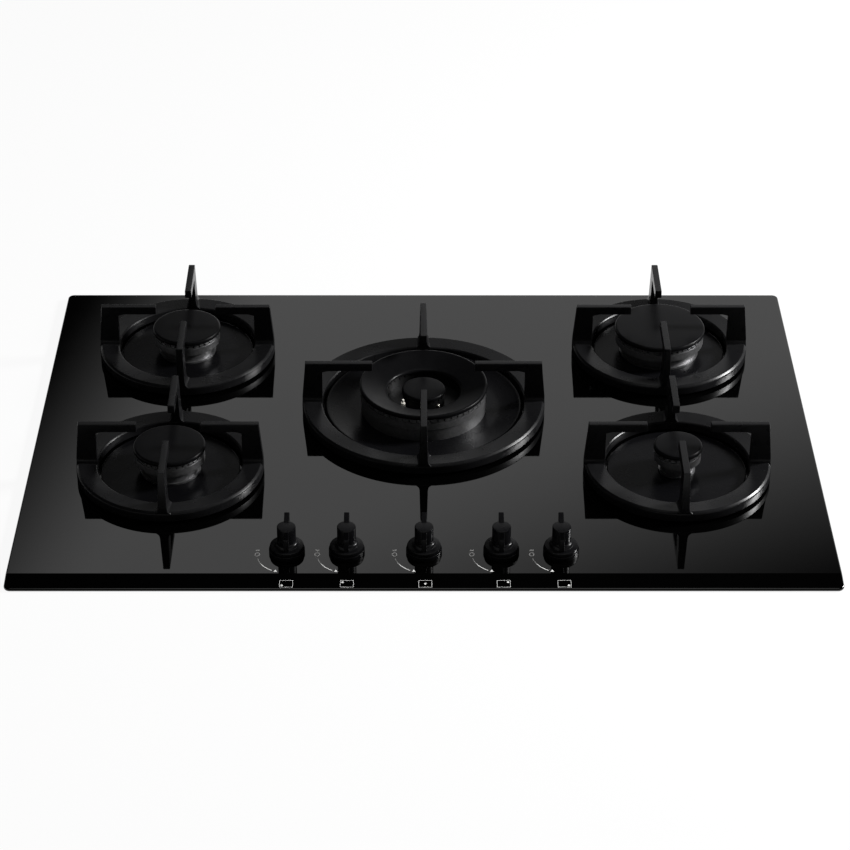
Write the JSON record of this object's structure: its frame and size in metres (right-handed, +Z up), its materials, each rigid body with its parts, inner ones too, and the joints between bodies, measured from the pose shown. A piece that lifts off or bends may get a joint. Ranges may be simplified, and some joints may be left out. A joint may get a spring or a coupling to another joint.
{
  "type": "gas cooktop",
  "caption": "Built-in gas cooktop: black glass slab with round cast pan supports over capped burners, a larger double-ring wok burner in the middle, and a row of fin-grip knobs along the front.",
  "frame": {"origin": "centre of the flat underside of the burner box", "axes": "+X to the right along the width, +Y to the back, +Z up"},
  "size_m": [0.75, 0.52, 0.106],
  "materials": {
    "black_glass": "polished tempered glass, printed black underneath",
    "cast_iron": "satin black enamel",
    "cap_enamel": "satin black vitreous enamel",
    "plate_enamel": "semi-gloss black enamel",
    "crown_alloy": "dark anodised die casting",
    "cup_alloy": "rough die casting",
    "knob_black": "satin moulded thermoset",
    "rubber": "matte",
    "seal_foam": "closed-cell foam",
    "box_steel": "galvanised sheet",
    "ceramic": "glazed white",
    "sensor_steel": "bare, slightly heat tinted",
    "spindle_steel": "turned",
    "slider_plastic": "moulded",
    "tap_alloy": "die cast",
    "brass": "machined",
    "pipe_alloy": "drawn tube",
    "rail_steel": "zinc plated",
    "switch_plastic": "moulded",
    "gland_plastic": "moulded nylon"
  },
  "bodies": {
    "cooktop": {"glass_top": "black_glass", "worktop_seal": "seal_foam", "burner_box": "box_steel", "side_drip_plates": "plate_enamel", "centre_drip_plate": "plate_enamel", "spark_plugs": "ceramic", "thermocouples": "sensor_steel", "injector_holders": "brass", "knob_bezels": "knob_black", "gas_taps": "tap_alloy", "ignition_switches": "switch_plastic", "gas_pipes": "pipe_alloy", "gas_manifold": "rail_steel", "gas_inlet": "brass", "mains_gland": "gland_plastic", "ignition_generator": "switch_plastic", "fixing_clamps": "rail_steel", "fixing_screws": "rail_steel", "front_left_burner_cup": "cup_alloy", "rear_left_burner_cup": "cup_alloy", "centre_burner_cup": "cup_alloy", "rear_right_burner_cup": "cup_alloy", "front_right_burner_cup": "cup_alloy"},
    "front_left_support": {"front_left_pan_support": "cast_iron", "front_left_support_feet": "rubber"},
    "front_left_crown": {"front_left_burner_crown": "crown_alloy"},
    "front_left_cap": {"front_left_burner_cap": "cap_enamel"},
    "rear_left_support": {"rear_left_pan_support": "cast_iron", "rear_left_support_feet": "rubber"},
    "rear_left_crown": {"rear_left_burner_crown": "crown_alloy"},
    "rear_left_cap": {"rear_left_burner_cap": "cap_enamel"},
    "centre_support": {"centre_pan_support": "cast_iron", "centre_support_feet": "rubber"},
    "centre_crown": {"centre_burner_crown": "crown_alloy"},
    "centre_cap": {"centre_burner_cap": "cap_enamel"},
    "rear_right_support": {"rear_right_pan_support": "cast_iron", "rear_right_support_feet": "rubber"},
    "rear_right_crown": {"rear_right_burner_crown": "crown_alloy"},
    "rear_right_cap": {"rear_right_burner_cap": "cap_enamel"},
    "front_right_support": {"front_right_pan_support": "cast_iron", "front_right_support_feet": "rubber"},
    "front_right_crown": {"front_right_burner_crown": "crown_alloy"},
    "front_right_cap": {"front_right_burner_cap": "cap_enamel"},
    "centre_small_cap": {"centre_inner_cap": "cap_enamel"},
    "front_left_slider": {"front_left_switch_slider": "slider_plastic"},
    "front_left_control": {"front_left_knob": "knob_black", "front_left_tap_spindle": "spindle_steel"},
    "rear_left_slider": {"rear_left_switch_slider": "slider_plastic"},
    "rear_left_control": {"rear_left_knob": "knob_black", "rear_left_tap_spindle": "spindle_steel"},
    "centre_slider": {"centre_switch_slider": "slider_plastic"},
    "centre_control": {"centre_knob": "knob_black", "centre_tap_spindle": "spindle_steel"},
    "rear_right_slider": {"rear_right_switch_slider": "slider_plastic"},
    "rear_right_control": {"rear_right_knob": "knob_black", "rear_right_tap_spindle": "spindle_steel"},
    "front_right_slider": {"front_right_switch_slider": "slider_plastic"},
    "front_right_control": {"front_right_knob": "knob_black", "front_right_tap_spindle": "spindle_steel"}
  },
  "joints": [
    {"name": "front_left_support_lift", "type": "slide", "parent": "cooktop", "child": "front_left_support", "axis": [0, 0, 1], "range_m": [0, 0.1]},
    {"name": "front_left_crown_lift", "type": "slide", "parent": "cooktop", "child": "front_left_crown", "axis": [0, 0, 1], "range_m": [0, 0.004]},
    {"name": "front_left_cap_lift", "type": "slide", "parent": "front_left_crown", "child": "front_left_cap", "axis": [0, 0, 1], "range_m": [0, 0.009]},
    {"name": "rear_left_support_lift", "type": "slide", "parent": "cooktop", "child": "rear_left_support", "axis": [0, 0, 1], "range_m": [0, 0.1]},
    {"name": "rear_left_crown_lift", "type": "slide", "parent": "cooktop", "child": "rear_left_crown", "axis": [0, 0, 1], "range_m": [0, 0.004]},
    {"name": "rear_left_cap_lift", "type": "slide", "parent": "rear_left_crown", "child": "rear_left_cap", "axis": [0, 0, 1], "range_m": [0, 0.009]},
    {"name": "centre_support_lift", "type": "slide", "parent": "cooktop", "child": "centre_support", "axis": [0, 0, 1], "range_m": [0, 0.1]},
    {"name": "centre_crown_lift", "type": "slide", "parent": "cooktop", "child": "centre_crown", "axis": [0, 0, 1], "range_m": [0, 0.004]},
    {"name": "centre_cap_lift", "type": "slide", "parent": "centre_crown", "child": "centre_cap", "axis": [0, 0, 1], "range_m": [0, 0.009]},
    {"name": "rear_right_support_lift", "type": "slide", "parent": "cooktop", "child": "rear_right_support", "axis": [0, 0, 1], "range_m": [0, 0.1]},
    {"name": "rear_right_crown_lift", "type": "slide", "parent": "cooktop", "child": "rear_right_crown", "axis": [0, 0, 1], "range_m": [0, 0.004]},
    {"name": "rear_right_cap_lift", "type": "slide", "parent": "rear_right_crown", "child": "rear_right_cap", "axis": [0, 0, 1], "range_m": [0, 0.009]},
    {"name": "front_right_support_lift", "type": "slide", "parent": "cooktop", "child": "front_right_support", "axis": [0, 0, 1], "range_m": [0, 0.1]},
    {"name": "front_right_crown_lift", "type": "slide", "parent": "cooktop", "child": "front_right_crown", "axis": [0, 0, 1], "range_m": [0, 0.004]},
    {"name": "front_right_cap_lift", "type": "slide", "parent": "front_right_crown", "child": "front_right_cap", "axis": [0, 0, 1], "range_m": [0, 0.009]},
    {"name": "centre_small_cap_lift", "type": "slide", "parent": "centre_crown", "child": "centre_small_cap", "axis": [0, 0, 1], "range_m": [0, 0.009]},
    {"name": "front_left_knob_push", "type": "slide", "parent": "cooktop", "child": "front_left_slider", "axis": [0, 0, -1], "range_m": [0, 0.003], "stiffness_N_per_m": 2000, "springref_m": -0.004},
    {"name": "front_left_knob_turn", "type": "hinge", "parent": "front_left_slider", "child": "front_left_control", "pos_m": [-0.1242, -0.2067, 0.07], "axis": [0, 0, 1], "range_deg": [0, 165]},
    {"name": "rear_left_knob_push", "type": "slide", "parent": "cooktop", "child": "rear_left_slider", "axis": [0, 0, -1], "range_m": [0, 0.003], "stiffness_N_per_m": 2000, "springref_m": -0.004},
    {"name": "rear_left_knob_turn", "type": "hinge", "parent": "rear_left_slider", "child": "rear_left_control", "pos_m": [-0.07, -0.2067, 0.07], "axis": [0, 0, 1], "range_deg": [0, 165]},
    {"name": "centre_knob_push", "type": "slide", "parent": "cooktop", "child": "centre_slider", "axis": [0, 0, -1], "range_m": [0, 0.003], "stiffness_N_per_m": 2000, "springref_m": -0.004},
    {"name": "centre_knob_turn", "type": "hinge", "parent": "centre_slider", "child": "centre_control", "pos_m": [0, -0.2067, 0.07], "axis": [0, 0, 1], "range_deg": [0, 165]},
    {"name": "rear_right_knob_push", "type": "slide", "parent": "cooktop", "child": "rear_right_slider", "axis": [0, 0, -1], "range_m": [0, 0.003], "stiffness_N_per_m": 2000, "springref_m": -0.004},
    {"name": "rear_right_knob_turn", "type": "hinge", "parent": "rear_right_slider", "child": "rear_right_control", "pos_m": [0.07, -0.2067, 0.07], "axis": [0, 0, 1], "range_deg": [0, 165]},
    {"name": "front_right_knob_push", "type": "slide", "parent": "cooktop", "child": "front_right_slider", "axis": [0, 0, -1], "range_m": [0, 0.003], "stiffness_N_per_m": 2000, "springref_m": -0.004},
    {"name": "front_right_knob_turn", "type": "hinge", "parent": "front_right_slider", "child": "front_right_control", "pos_m": [0.1242, -0.2067, 0.07], "axis": [0, 0, 1], "range_deg": [0, 165]}
  ]
}
